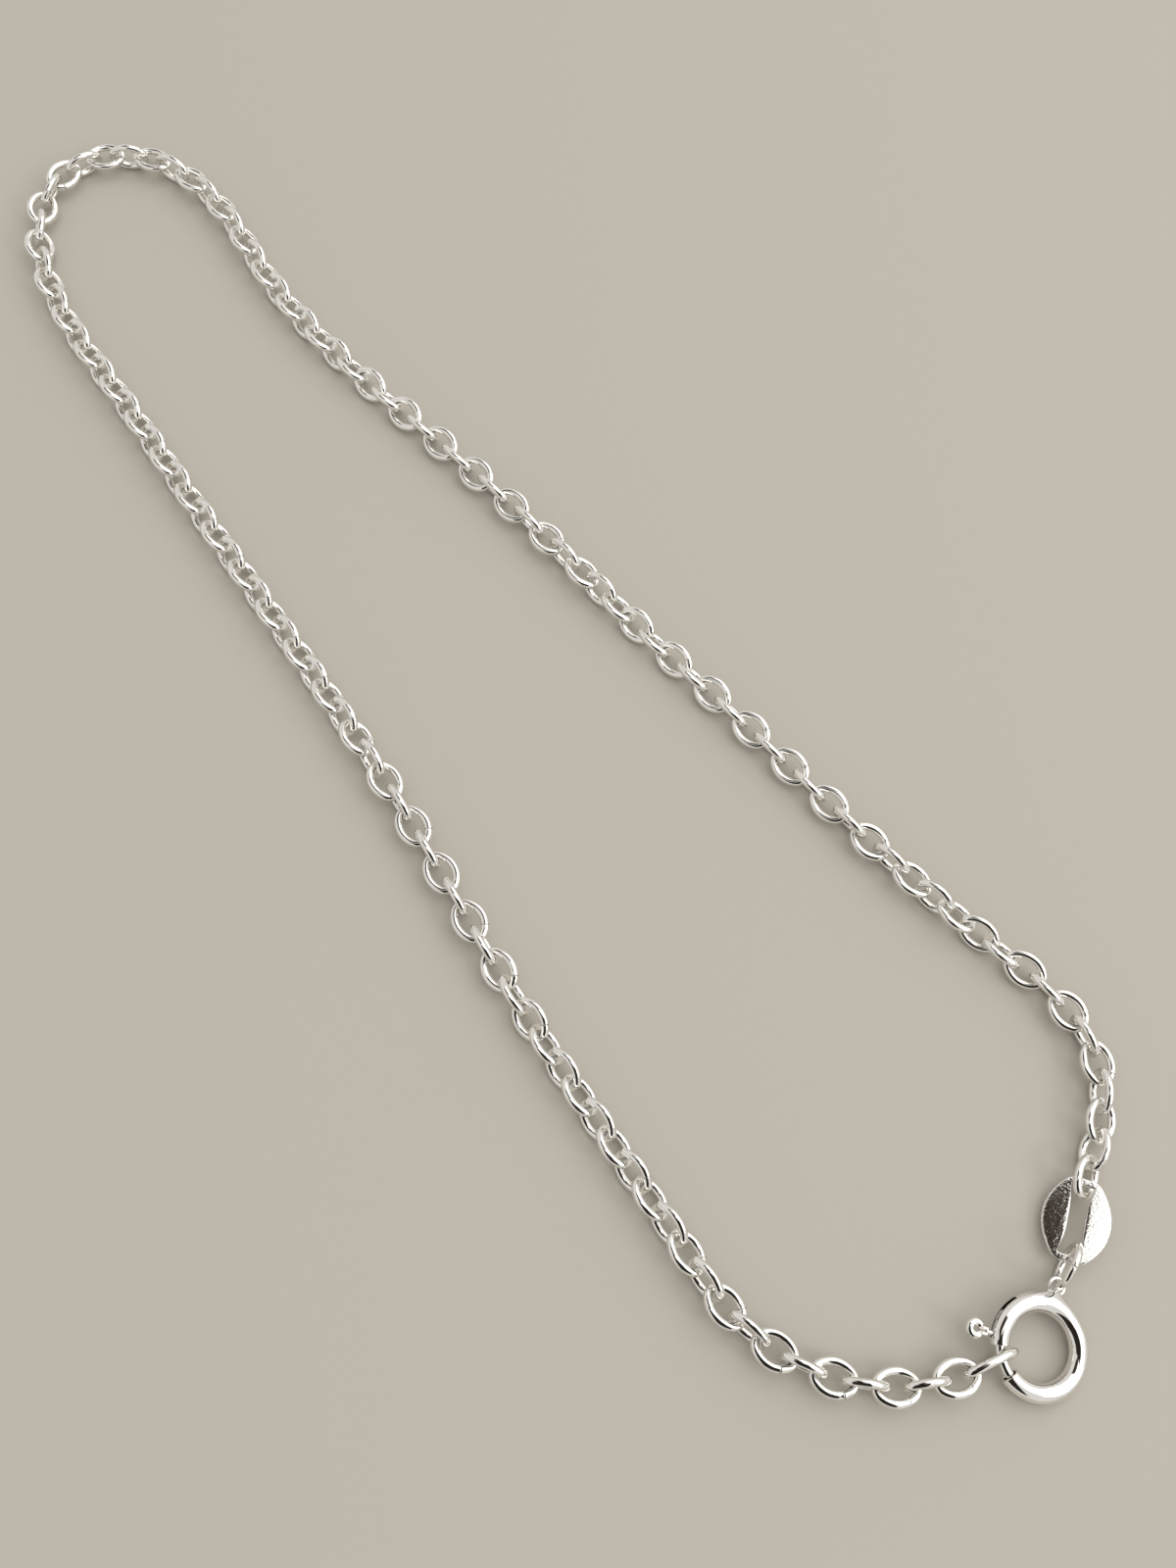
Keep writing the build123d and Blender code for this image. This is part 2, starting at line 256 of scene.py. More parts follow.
def rounded_ends(lengths, radius, rounding, steps=4):
    """Places along a rod, and its radii there, with the rod's two ends rounded."""
    start, end = lengths[0], lengths[-1]
    places, radii = [start, start], [END_CAP * radius, radius - rounding]
    for step in range(1, steps + 1):
        angle = math.pi / 2 * step / steps
        places.append(start + rounding * (1 - math.cos(angle)))
        radii.append(radius - rounding + rounding * math.sin(angle))
    middle = [place for place in lengths if start + 1.5 * rounding < place < end - 1.5 * rounding]
    mirrored = [start + end - place for place in reversed(places)]
    return places + middle + mirrored, radii + [radius] * len(middle) + radii[::-1]


def solid_rod(rows, sides):
    """Points and faces of a rod from its rows of sections, closed at both ends."""
    count = len(rows)
    faces = grid_faces(count, sides)
    faces.append(tuple(range(sides))[::-1])
    faces.append(tuple((count - 1) * sides + side for side in range(sides)))
    return rows.reshape(-1, 3), faces


def shifted(faces, first):
    """The same faces, over points that start at first."""
    return [tuple(first + corner for corner in face) for face in faces]


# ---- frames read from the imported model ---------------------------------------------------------
def loose_parts(node):
    """The separate solids in a CAD node, each as (points, triangles) in metres."""
    mesh = frame["nodes"][node].data
    mesh.calc_loop_triangles()
    points = np.array([vertex.co for vertex in mesh.vertices], float)
    keys = [tuple(row) for row in np.round(points / (MM * WELD_WITHIN)).astype(np.int64)]
    same = {}
    welded = np.array([same.setdefault(key, len(same)) for key in keys])
    triangles = np.array([triangle.vertices for triangle in mesh.loop_triangles])
    corners = welded[triangles]
    group = np.arange(len(same))
    while True:
        lowest = group[corners].min(axis=1)
        before = group.copy()
        for corner in range(3):
            np.minimum.at(group, corners[:, corner], lowest)
        group = group[group]
        if np.array_equal(before, group):
            break
    part_of = group[corners[:, 0]]
    return [(points, triangles[part_of == part]) for part in np.unique(part_of)]


def own_frame(points, triangles):
    """Frame at a solid's middle, along its long, wide and thin ways, and its half sizes."""
    first, second, third = (points[triangles[:, corner]] for corner in range(3))
    areas = np.linalg.norm(np.cross(second - first, third - first), axis=1)
    middles = (first + second + third) / 3
    middle = np.average(middles, axis=0, weights=areas)
    spread = np.cov((middles - middle).T, aweights=areas)
    axes = np.linalg.eigh(spread)[1].T[::-1]
    if axes[2][2] < 0:
        axes[2] = -axes[2]
    axes[1] = np.cross(axes[2], axes[0])
    reach = (points[np.unique(triangles)] - middle) @ axes.T
    middle = middle + (reach.max(axis=0) + reach.min(axis=0)) / 2 @ axes
    half = (reach.max(axis=0) - reach.min(axis=0)) / 2
    place = Matrix([list(row) for row in axes.T]).to_4x4()
    place.translation = Vector(middle)
    return place, half


# ---- the chain ---------------------------------------------------------------------------------
def oval_line(half_length, half_width, at):
    """Point on a link's centre line, a share of the way round from one tip, and its length."""
    end_centre = half_length - LINK_END_RADIUS
    side_radius = end_centre ** 2 + half_width ** 2 - LINK_END_RADIUS ** 2
    side_radius /= 2 * (half_width - LINK_END_RADIUS)
    end_turn = math.atan2(side_radius - half_width, end_centre)
    end_arc = LINK_END_RADIUS * end_turn
    side_arc = side_radius * (math.pi / 2 - end_turn)
    quarter = end_arc + side_arc
    distance = (at % 1.0) * 4 * quarter
    part = int(distance / quarter)
    along = distance - part * quarter
    if part % 2:
        along = quarter - along
    if along < end_arc:
        angle = along / LINK_END_RADIUS
        x = end_centre + LINK_END_RADIUS * math.cos(angle)
        y = LINK_END_RADIUS * math.sin(angle)
    else:
        angle = end_turn + (along - end_arc) / side_radius
        x = side_radius * math.cos(angle)
        y = half_width - side_radius + side_radius * math.sin(angle)
    return (x if part in (0, 3) else -x), (y if part < 2 else -y), 4 * quarter


def link_points(half, turn, draw):
    """Sections of one link, with its soldered seam, and how near each section is to the seam."""
    wire_radius = half[2]
    half_length = half[0] - wire_radius
    half_width = half[1] - wire_radius
    whole = oval_line(half_length, half_width, 0)[2]
    seams_at = [SEAM_PLACE, 0.5 - SEAM_PLACE, 0.5 + SEAM_PLACE, 1 - SEAM_PLACE]
    places = [(*oval_line(half_length, half_width, at)[:2], 0) for at in seams_at]
    reach = [turn @ np.array(place) @ np.array(SEAM_TOWARDS) for place in places]
    seam = seams_at[int(np.argmax(reach))] + draw.uniform(-SEAM_STRAY, SEAM_STRAY)
    plain = draw.uniform(SEAM_FAINTEST, SEAM_PLAINEST)
    clear = SEAM_STEPS[-1] / whole
    spans = [clear + (1 - 2 * clear) * step / LINK_SECTIONS for step in range(1, LINK_SECTIONS)]
    offsets = [step / whole for step in SEAM_STEPS] + spans
    phase = draw.uniform(0, 2 * math.pi)
    centres, radii, seams = [], [], []
    for offset in offsets:
        x, y, _ = oval_line(half_length, half_width, seam + offset)
        gap = min(offset % 1.0, 1 - offset % 1.0) * whole
        swell = SEAM_SWELL * math.exp(-(gap / SEAM_SWELL_REACH) ** 2)
        crease = plain * SEAM_CREASE * math.exp(-(gap / SEAM_CREASE_REACH) ** 2)
        uneven = WIRE_UNEVEN * math.sin(4 * math.pi * offset + phase)
        centres.append((x, y, 0))
        radii.append(wire_radius + swell - crease + uneven)
        seams.append(plain * math.exp(-(gap / SEAM_GRIME_REACH) ** 2))
    rows = wire_sections(centres, radii, LINK_SIDES, (0, 0, 1), closed=True)
    return rows, seams


def chain(name, node, draw):
    """All the links of a chain node as one mesh, each remade in the place of its solid."""
    points, faces, seams = [], [], []
    for solid_points, triangles in loose_parts(node):
        place, half = own_frame(solid_points, triangles)
        turn = np.array(place.to_3x3())
        rows, near_seam = link_points(half / MM, turn, draw)
        middle = np.array(place.translation) / MM
        first = len(points) * LINK_SIDES * len(rows)
        faces += grid_faces(len(rows), LINK_SIDES, first, close_rows=True)
        points.append(rows.reshape(-1, 3) @ turn.T + middle)
        seams += [value for value in near_seam for _ in range(LINK_SIDES)]
    thing = new_object(name, np.concatenate(points), faces)
    attribute = thing.data.attributes.new("seam", "FLOAT", "POINT")
    attribute.data.foreach_set("value", seams)
    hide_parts(node)
    return thing


# ---- the bolt ring -----------------------------------------------------------------------------
def ring_frame():
    """Frame of the bolt ring, from its joint: Z along its axis and X towards the eyelet."""
    joint = frame["joints"][0]
    up = -Vector(joint["axis"]).normalized()
    lean = Vector((0, 0, 1)).rotation_difference(up)
    place = (lean @ Quaternion((0, 0, 1), math.radians(EYELET_HEADING))).to_matrix().to_4x4()
    place.translation = Vector(joint["pos_m"])
    return place


def tube_point(angle, around, radius):
    """Point on the bent tube at an angle round the ring and around its section, in radians."""
    reach = RING_RADIUS + radius * math.cos(around)
    return [reach * math.cos(angle), reach * math.sin(angle), radius * math.sin(around)]


def neck_flare(point):
    """How far the tube's outside is drawn out towards the eyelet at a point."""
    if point[0] < RING_RADIUS:
        return 0.0
    near = (point[1] / NECK_HALF_WIDTH) ** 2 + (point[2] / NECK_HALF_HEIGHT) ** 2
    return NECK_RISE * math.exp(-near ** NECK_FALL)


def ring_tube(place):
    """The hollow tube with rounded cut ends, thumb slot, flared neck and eyelet."""
    slot_start, slot_end = 360 + SLOT_START, 360 + SLOT_END
    angles = set(np.linspace(GATE_END, 360 + GATE_START, TUBE_SECTIONS))
    angles |= set(np.linspace(360 - NECK_SPAN, 360 + NECK_SPAN, NECK_SECTIONS))
    angles |= {slot_start, slot_end}
    inset = math.degrees(RIM_ROUND / RING_RADIUS)
    low, high = GATE_END + inset, 360 + GATE_START - inset
    angles = sorted(angle for angle in angles if low < angle < high)
    rim = [math.radians(step) for step in (0, 22.5, 45, 67.5, 90)]
    outside = [(GATE_END + inset * (1 - math.cos(turn)),
                TUBE_RADIUS - RIM_ROUND * (1 - math.sin(turn))) for turn in rim]
    outside += [(angle, TUBE_RADIUS) for angle in angles]
    outside += [(GATE_END + 360 + GATE_START - angle, radius)
                for angle, radius in outside[len(rim) - 1::-1]]
    inside = [(angle, TUBE_RADIUS + BORE_RADIUS - radius) for angle, radius in outside]
    half = len(outside)
    rows = outside + inside[::-1]

    sides, slot_reach = TUBE_SIDES, SLOT_COLUMNS
    outer_slot = math.asin(SLOT_HALF_WIDTH / TUBE_RADIUS)
    inner_slot = math.asin(SLOT_HALF_WIDTH / BORE_RADIUS)

    def around(column, slot_angle):
        """Angles of the columns, with two of them on the slot's edges."""
        column = column if column <= sides / 2 else column - sides
        size = abs(column)
        if size <= slot_reach:
            turn = slot_angle * size / slot_reach
        else:
            share = (size - slot_reach) / (sides / 2 - slot_reach)
            turn = slot_angle + (math.pi - slot_angle) * share
        return math.copysign(turn, column)

    points = []
    for number, (angle, radius) in enumerate(rows):
        outer = number < half
        for column in range(sides):
            turn = around(column, outer_slot if outer else inner_slot)
            point = tube_point(math.radians(angle), turn, radius)
            if outer:
                point[0] += neck_flare(point)
            points.append(point)

    def in_slot(row, column):
        """Whether the quad from this row and column on is cut away for the slot."""
        after = (row + 1) % len(rows)
        low, high = sorted((rows[row][0], rows[after][0]))
        cut = slot_start <= low and high <= slot_end
        return cut and (column < slot_reach or column >= sides - slot_reach)

    faces = grid_faces(len(rows), sides, close_rows=True, skip=in_slot)
    marks = [number for number in range(half) if slot_start <= rows[number][0] <= slot_end]
    opposite = {number: len(rows) - 1 - number for number in marks}
    for edge, flip in ((slot_reach, False), (sides - slot_reach, True)):
        for row in marks[:-1]:
            wall = [row * sides + edge, (row + 1) * sides + edge,
                    opposite[row + 1] * sides + edge, opposite[row] * sides + edge]
            faces.append(tuple(wall[::-1] if flip else wall))
    for row, flip in ((marks[0], True), (marks[-1], False)):
        for step in range(-slot_reach, slot_reach):
            left, right = step % sides, (step + 1) % sides
            wall = [row * sides + left, row * sides + right,
                    opposite[row] * sides + right, opposite[row] * sides + left]
            faces.append(tuple(wall[::-1] if flip else wall))

    first = len(points)
    steps = 2 * math.pi * np.arange(EYELET_SECTIONS) / EYELET_SECTIONS
    centres = [(EYELET_REACH + EYELET_RADIUS * math.cos(step), EYELET_RADIUS * math.sin(step), 0)
               for step in steps]
    roots = [math.exp(-((step - math.pi) / EYELET_ROOT_SPREAD) ** 2) for step in steps]
    radii = [EYELET_WIRE_RADIUS + EYELET_ROOT * root for root in roots]
    eyelet = wire_sections(centres, radii, EYELET_SIDES, (0, 0, 1), closed=True)
    points += eyelet.reshape(-1, 3).tolist()
    faces += grid_faces(EYELET_SECTIONS, EYELET_SIDES, first, close_rows=True)
    thing = new_object("ring_tube", points, faces, place)
    thing.data.set_sharp_from_angle(angle=math.radians(SHARP_FROM))
    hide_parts("bolt_ring_body")
    return thing


def bolt_pieces(place):
    """The sliding rod and its thumb knob, a wire led out through the slot and bent to a loop."""
    arc = math.radians(BOLT_END - BOLT_START) * RING_RADIUS
    lengths, radii = rounded_ends(np.linspace(0, arc, BOLT_SECTIONS), BOLT_RADIUS, BOLT_ROUND)
    angles = [math.radians(BOLT_START) + length / RING_RADIUS for length in lengths]
    steps = 2 * math.pi * np.arange(BOLT_SIDES) / BOLT_SIDES
    rows = []
    for angle, radius in zip(angles, radii):
        rows.append([tube_point(angle, step, radius) for step in steps])
    rod_points, rod_faces = solid_rod(np.array(rows), BOLT_SIDES)

    reaches = np.linspace(RING_RADIUS, KNOB_NIB_REACH + STEM_PAST_NIBS, STEM_SECTIONS)
    out = [(reach, 0.0, 0.0) for reach in reaches]
    radii = [STEM_RADIUS] * STEM_SECTIONS
    stem_rows = wire_sections(out, radii, STEM_SIDES, (0, 0, 1), closed=False)
    stem_points, stem_faces = solid_rod(stem_rows, STEM_SIDES)
    loop_points, loop_faces = solid_rod(knob_sections(), KNOB_SIDES)

    turned = np.array(Matrix.Rotation(math.radians(KNOB_ANGLE), 3, "Z"))
    knob_points = np.concatenate([stem_points, loop_points]) @ turned.T
    knob_faces = stem_faces + shifted(loop_faces, len(stem_points))
    points = np.concatenate([rod_points, knob_points])
    faces = rod_faces + shifted(knob_faces, len(rod_points))
    thing = new_object("bolt_and_knob", points, faces, place)
    thing.data.set_sharp_from_angle(angle=math.radians(SHARP_FROM))
    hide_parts("bolt")
    return thing


def knob_sections():
    """Sections along the knob's wire: an eye of wire whose two thinned ends meet over the stem."""
    def on_circle(angle):
        return np.array((KNOB_REACH + KNOB_LOOP_RADIUS * math.cos(angle),
                         KNOB_LOOP_RADIUS * math.sin(angle), 0.0))

    leave = math.radians(KNOB_ROUND_TO)
    start, finish = np.array((KNOB_NIB_REACH, KNOB_NIB_GAP, 0.0)), on_circle(leave)
    corner = finish - KNOB_LEG_BEND * np.array((math.sin(leave), -math.cos(leave), 0.0))
    leg = [start * (1 - t) ** 2 + corner * 2 * t * (1 - t) + finish * t ** 2
           for t in np.linspace(0, 1, KNOB_LEG_SECTIONS + 1)[:-1]]
    bend = [on_circle(angle) for angle in np.linspace(leave, -leave, KNOB_LOOP_SECTIONS)]
    path = np.array(leg + bend + [point * (1, -1, 1) for point in leg[::-1]])
    radii = np.full(len(path), KNOB_WIRE_RADIUS)
    thin = np.minimum(path[:len(leg), 1] - KNOB_SLIT, KNOB_WIRE_RADIUS)
    radii[:len(leg)] = thin
    radii[-len(leg):] = thin[::-1]
    return wire_sections(path, radii, KNOB_SIDES, (0, 0, 1), closed=False)


# ---- jump ring ---------------------------------------------------------------------------------
def jump_ring():
    """The round jump ring, with its butted cut a little out of line."""
    place, _ = own_frame(*loose_parts("jump_ring")[0])
    normal = place.to_3x3() @ Vector((0, 0, 1))
    level = Vector((0, 0, 1)).cross(normal).normalized()
    if level.x < 0:
        level = -level
    upward = normal.cross(level)
    if upward.z < 0:
        upward = -upward
    turned = Matrix((level, upward, level.cross(upward))).transposed().to_4x4()
    turned.translation = place.translation

    arc = 2 * math.pi * JUMP_RADIUS - JUMP_CUT
    lengths, radii = rounded_ends(np.linspace(0, arc, JUMP_SECTIONS), JUMP_WIRE_RADIUS, CUT_ROUND)
    steps = 2 * math.pi * np.arange(JUMP_SIDES) / JUMP_SIDES
    sideways = np.array((0, 0, 1.0))
    rows = []
    for length, radius in zip(lengths, radii):
        angle = math.radians(JUMP_CUT_ANGLE) + (length + JUMP_CUT / 2) / JUMP_RADIUS
        shift = JUMP_MISMATCH * (length / arc - 0.5)
        outward = np.array((math.cos(angle), math.sin(angle), 0.0))
        centre = outward * (JUMP_RADIUS + JUMP_MISMATCH_OUTWARD * shift) + sideways * shift
        rows.append([centre + radius * (outward * math.cos(step) + sideways * math.sin(step))
                     for step in steps])
    points, faces = solid_rod(np.array(rows), JUMP_SIDES)
    thing = new_object("jump_wire", points, faces, turned)
    thing.data.set_sharp_from_angle(angle=math.radians(SHARP_FROM))
    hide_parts("jump_ring")
    return thing


# ---- tag link ----------------------------------------------------------------------------------
def rounded_corner(across, along, rounding):
    """Signed distance outside two edges that meet square, with the corner rounded."""
    u, v = across + rounding, along + rounding
    outside = math.hypot(max(u, 0.0), max(v, 0.0))
    return outside + min(max(u, v), 0.0) - rounding


def outline_reach(heading, inside):
    """Distance from the tag's middle to its rim, or to the edge of its slot, along a heading."""
    x_way, y_way = math.cos(heading), math.sin(heading)
    if inside:
        half_length = TAG_HALF_LENGTH - TAG_BAR
        at_end, at_middle = TAG_SLOT_HALF_END, TAG_SLOT_HALF_WAIST
        middle = -TAG_SLOT_SKEW if y_way > 0 else TAG_SLOT_SKEW
        rounding = TAG_SLOT_CORNER
    else:
        half_length = TAG_HALF_LENGTH
        at_end, at_middle, middle = TAG_HALF_END, TAG_HALF_WIDTH, 0.0
        rounding = TAG_CORNER
    near, far = 0.0, OUTLINE_SEARCH
    for _ in range(OUTLINE_HALVINGS):
        reach = (near + far) / 2
        x, y = reach * x_way, abs(reach * y_way)
        span = half_length + (middle if x < middle else -middle)
        share = min(1.0, abs(x - middle) / span)
        side = at_middle + (at_end - at_middle) * share * share
        if rounded_corner(y - side, abs(x) - half_length, rounding) < 0:
            near = reach
        else:
            far = reach
    return near


def tag_frame():
    """Frame of the tag link, X away from the clasp and Z off its crown, and its half sizes."""
    place, half = own_frame(*loose_parts("tag_link")[0])
    outward = place.translation - Vector(frame["joints"][0]["pos_m"])
    if outward.dot(place.to_3x3() @ Vector((1, 0, 0))) < 0:
        place = place @ Matrix.Rotation(math.pi, 4, "Z")
    return place, half


def tag_plate():
    """The flat tag of two leaves round a slot, crowned and with rounded rims."""
    place, half = tag_frame()
    bottom = -half[2] / MM
    rim = [math.radians(value) for value in (0, 30, 60, 90)]
    shares = [number / TAG_STRIPS for number in range(1, TAG_STRIPS)]
    rows = []
    for number in range(TAG_HEADINGS):
        heading = 2 * math.pi * number / TAG_HEADINGS
        heading -= TAG_EVENING * math.sin(2 * heading)
        inner, outer = outline_reach(heading, True), outline_reach(heading, False)
        flat = outer - inner - 2 * TAG_RIM
        way = np.array((math.cos(heading), math.sin(heading), 0.0))
        # Once round the section of one leaf or bar: distance out, side, and depth below that side.
        rim_in = [(TAG_RIM * (1 - math.sin(turn)), TAG_RIM * (1 - math.cos(turn))) for turn in rim]
        profile = [(outer - inset, "bottom", depth) for inset, depth in rim_in]
        profile += [(outer - inset, "top", depth) for inset, depth in rim_in[::-1]]
        profile += [(outer - TAG_RIM - flat * share, "top", 0.0) for share in shares]
        profile += [(inner + inset, "top", depth) for inset, depth in rim_in]
        profile += [(inner + inset, "bottom", depth) for inset, depth in rim_in[::-1]]
        profile += [(inner + TAG_RIM + flat * share, "bottom", 0.0) for share in shares]
        row = []
        for reach, face, depth in profile:
            point = way * reach
            top = bottom + TAG_CROWN - (TAG_CROWN - TAG_EDGE) * (point[1] / TAG_HALF_WIDTH) ** 2
            top -= TAG_BOW * (point[0] / TAG_HALF_LENGTH) ** 2
            point[2] = top - depth if face == "top" else bottom + depth
            row.append(point)
        rows.append(row)
    rows = np.array(rows)
    faces = grid_faces(TAG_HEADINGS, rows.shape[1], close_rows=True)
    thing = new_object("tag_plate", rows.reshape(-1, 3), [face[::-1] for face in faces], place)
    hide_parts("tag_link")
    return thing


# ---- materials ---------------------------------------------------------------------------------
def darkened(tree, colour, factor, dark):
    """A colour output mixed towards a darker colour by a factor output."""
    mix = tree.nodes.new("ShaderNodeMix")
    mix.data_type = "RGBA"
    mix.inputs[MIX_SECOND].default_value = (*dark, 1)
    tree.links.new(factor, mix.inputs["Factor"])
    tree.links.new(colour, mix.inputs[MIX_FIRST])
    return mix.outputs[MIX_RESULT]


def noise(tree, scale, detail):
    """Noise in the piece's own coordinates, in metres."""
    place = tree.nodes.new("ShaderNodeTexCoord")
    texture = tree.nodes.new("ShaderNodeTexNoise")
    texture.inputs["Scale"].default_value = scale
    texture.inputs["Detail"].default_value = detail
    tree.links.new(place.outputs["Object"], texture.inputs["Vector"])
    return texture.outputs["Fac"]


def spread(tree, value, source, target):
    """A value mapped, and held, from one range to another."""
    mapping = tree.nodes.new("ShaderNodeMapRange")
    mapping.inputs["From Min"].default_value, mapping.inputs["From Max"].default_value = source
    mapping.inputs["To Min"].default_value, mapping.inputs["To Max"].default_value = target
    tree.links.new(value, mapping.inputs["Value"])
    return mapping.outputs["Result"]


def added(tree, value, factor, other):
    """A value times a factor, plus another value."""
    sum_node = tree.nodes.new("ShaderNodeMath")
    sum_node.operation = "MULTIPLY_ADD"
    sum_node.inputs[1].default_value = factor
    tree.links.new(value, sum_node.inputs[0])
    tree.links.new(other, sum_node.inputs[2])
    return sum_node.outputs["Value"]


def silver(name, roughness, wear, pits=0.0, seams=False):
    """Polished silver: fine rubbing marks in the finish, small dents, and duller seams or pits."""
    material = bpy.data.materials.new(name)
    material.use_nodes = True
    tree = material.node_tree
    shader = tree.nodes["Principled BSDF"]
    shader.inputs["Metallic"].default_value = 1.0

    tone = tree.nodes.new("ShaderNodeValToRGB")
    for stop, place, colour in zip(tone.color_ramp.elements, TONE_AT, (TARNISHED, SILVER)):
        stop.position = place
        stop.color = (*colour, 1)
    tree.links.new(noise(tree, *TONE_NOISE), tone.inputs["Fac"])
    colour = tone.outputs["Color"]
    smoothest, roughest = (roughness * share for share in FINISH_SPREAD)
    rough = spread(tree, noise(tree, *FINISH_NOISE), (0, 1), (smoothest, roughest))
    height = noise(tree, *DENT_NOISE)

    if pits > 0:
        pitting = noise(tree, *PIT_NOISE)
        height = added(tree, pitting, pits, height)
        grime = spread(tree, pitting, PIT_DEPTHS, (0, PIT_GRIME))
        colour = darkened(tree, colour, grime, GRIME)
    if seams:
        seam = tree.nodes.new("ShaderNodeAttribute")
        seam.attribute_name = "seam"
        colour = darkened(tree, colour, seam.outputs["Fac"], GRIME)
        rough = added(tree, seam.outputs["Fac"], SEAM_ROUGHNESS, rough)
    tree.links.new(colour, shader.inputs["Base Color"])
    tree.links.new(rough, shader.inputs["Roughness"])
    bump = tree.nodes.new("ShaderNodeBump")
    bump.inputs["Strength"].default_value = wear
    bump.inputs["Distance"].default_value = BUMP_DEPTH * MM
    tree.links.new(height, bump.inputs["Height"])
    tree.links.new(bump.outputs["Normal"], shader.inputs["Normal"])
    return material


def card(name, colour, shine=0.0):
    """Plain card, matt or with a little shine."""
    material = bpy.data.materials.new(name)
    material.use_nodes = True
    shader = material.node_tree.nodes["Principled BSDF"]
    shader.inputs["Base Color"].default_value = (*colour, 1)
    shader.inputs["Roughness"].default_value = CARD_ROUGHNESS
    shader.inputs["Specular IOR Level"].default_value = shine
    return material


# ---- surroundings ------------------------------------------------------------------------------
def aimed(location, target):
    """A place at location whose -Z points at target."""
    way = Vector(target) - Vector(location)
    place = way.to_track_quat("-Z", "Y").to_matrix().to_4x4()
    place.translation = Vector(location)
    return place


def softbox(name, location, size, radiance, colour):
    """An area lamp that shines at the anklet."""
    lamp = bpy.data.lights.new(name, "AREA")
    lamp.shape = "RECTANGLE"
    lamp.size, lamp.size_y = size
    lamp.energy = radiance * math.pi * size[0] * size[1]
    lamp.color = colour
    thing = bpy.data.objects.new(name, lamp)
    thing.matrix_world = aimed(location, (0, 0, 0))
    thing.visible_camera = False
    bpy.context.scene.collection.objects.link(thing)
    return thing


def dark_card(name, place, corners, colour):
    """A dark card that only shows in the silver, as in a jeweller's light tent."""
    thing = new_object(name, [(x, y, 0) for x, y in corners], [tuple(range(len(corners)))], place)
    thing.data.materials.append(card(name, colour))
    thing.visible_camera = False
    thing.visible_shadow = False
    thing.visible_diffuse = False
    return thing


def studio_world():
    """An even world that lights the scene, with the backdrop where it is seen or mirrored."""
    world = bpy.data.worlds.new("studio")
    world.use_nodes = True
    nodes, links = world.node_tree.nodes, world.node_tree.links
    background = nodes["Background"]
    background.inputs["Color"].default_value = (*WORLD_COLOUR, 1)
    background.inputs["Strength"].default_value = WORLD_STRENGTH
    backdrop = nodes.new("ShaderNodeBackground")
    backdrop.inputs["Color"].default_value = (*BACKDROP_COLOUR, 1)
    path = nodes.new("ShaderNodeLightPath")
    seen = path.outputs["Is Camera Ray"]
    for ray in ("Is Glossy Ray", "Is Transmission Ray"):
        either = nodes.new("ShaderNodeMath")
        either.operation = "MAXIMUM"
        links.new(seen, either.inputs[0])
        links.new(path.outputs[ray], either.inputs[1])
        seen = either.outputs["Value"]
    choice = nodes.new("ShaderNodeMixShader")
    links.new(seen, choice.inputs["Fac"])
    links.new(background.outputs["Background"], choice.inputs[1])
    links.new(backdrop.outputs["Background"], choice.inputs[2])
    links.new(choice.outputs["Shader"], nodes["World Output"].inputs["Surface"])
    bpy.context.scene.world = world


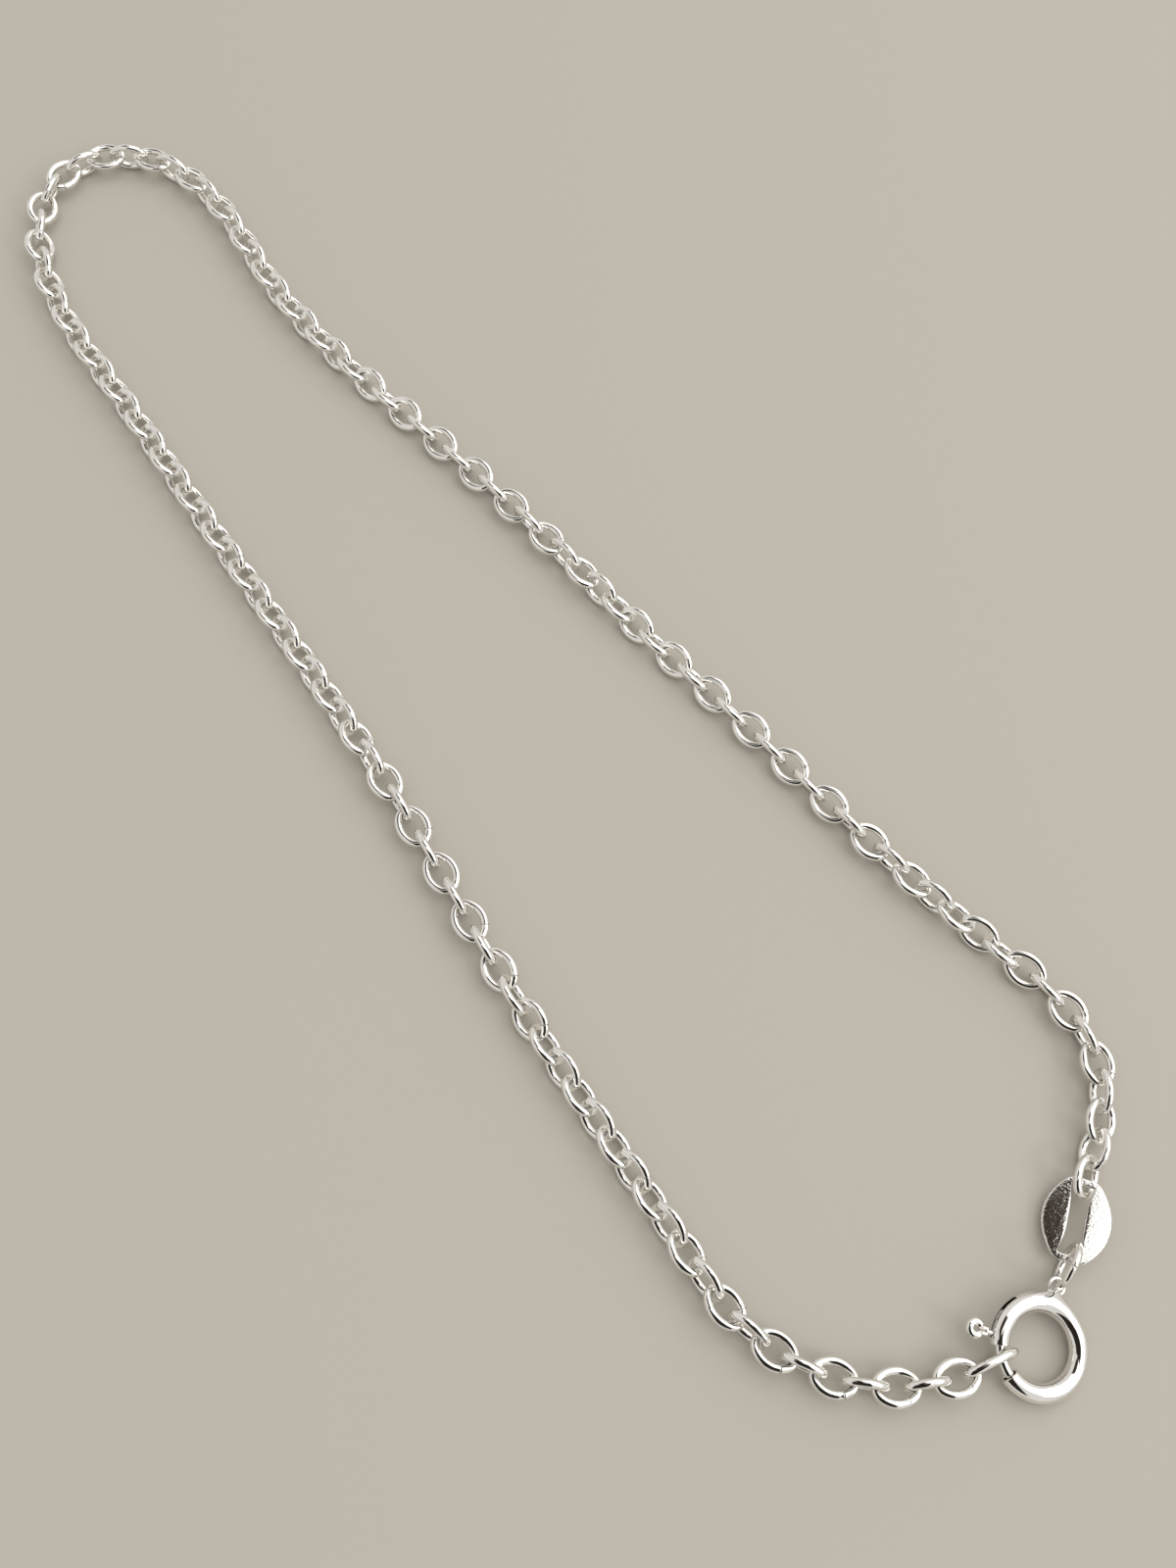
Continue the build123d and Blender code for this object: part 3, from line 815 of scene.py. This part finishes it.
def surroundings(view):
    """Pale floor, world and lamps, and the dark cards on the viewer's side and overhead."""
    corners = [(-1, -1, 0), (1, -1, 0), (1, 1, 0), (-1, 1, 0)]
    floor = new_object("floor", FLOOR_REACH * np.array(corners), [(0, 1, 2, 3)])
    floor.data.materials.append(card("pale_card", FLOOR_COLOUR, FLOOR_SHINE))

    studio_world()
    softbox("overhead", *OVERHEAD)
    softbox("key", *KEY)
    dark_card("viewer_card", view, VIEWER_CARD, VIEWER_CARD_COLOUR)
    high = Matrix.Translation((0, 0, HIGH_CARD_UP * MM))
    dark_card("high_card", high, HIGH_CARD, HIGH_CARD_COLOUR)


def camera():
    """Make the camera, with its heading, tilt and roll, and return its place."""
    heading, down, roll = (math.radians(v) for v in (CAMERA_HEADING, CAMERA_DOWN, CAMERA_ROLL))
    level = Vector((math.cos(heading), math.sin(heading), 0))
    right = Vector((level.y, -level.x, 0))
    forward = level * math.cos(down) - Vector((0, 0, math.sin(down)))
    upward = level * math.sin(down) + Vector((0, 0, math.cos(down)))
    x_axis = right * math.cos(roll) + upward * math.sin(roll)
    y_axis = upward * math.cos(roll) - right * math.sin(roll)
    place = Matrix((x_axis, y_axis, -forward)).transposed().to_4x4()
    place.translation = Vector(CAMERA_AT)
    data = bpy.data.cameras.new("camera")
    data.sensor_fit = "HORIZONTAL"
    data.sensor_width = SENSOR_WIDTH
    data.lens = FOCAL_LENGTH
    data.clip_start, data.clip_end = CAMERA_CLIP
    thing = bpy.data.objects.new("camera", data)
    thing.matrix_world = place
    bpy.context.scene.collection.objects.link(thing)
    bpy.context.scene.camera = thing
    return place


# ---- the anklet --------------------------------------------------------------------------------
def anklet():
    """Every piece in place, with its metal, riding on its body."""
    draw = random.Random(RANDOM_SEED)
    place = ring_frame()
    chain_silver = silver("chain_silver", CHAIN_ROUGHNESS, CHAIN_WEAR, seams=True)
    clasp_silver = silver("clasp_silver", CLASP_ROUGHNESS, CLASP_WEAR)
    tag_silver = silver("tag_silver", TAG_ROUGHNESS, TAG_WEAR, pits=TAG_PITS)
    for piece, material, body in (
        (chain("links_tag_side", "chain_tag_side", draw), chain_silver, BODY),
        (chain("links_clasp_side", "chain_clasp_side", draw), chain_silver, BODY),
        (tag_plate(), tag_silver, BODY),
        (jump_ring(), clasp_silver, BODY),
        (ring_tube(place), clasp_silver, BODY),
        (bolt_pieces(place), clasp_silver, BOLT_BODY),
    ):
        piece.data.materials.append(material)
        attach(piece, body)


viewpoint = camera()
anklet()
surroundings(viewpoint)
bpy.context.scene.view_settings.view_transform = "Standard"
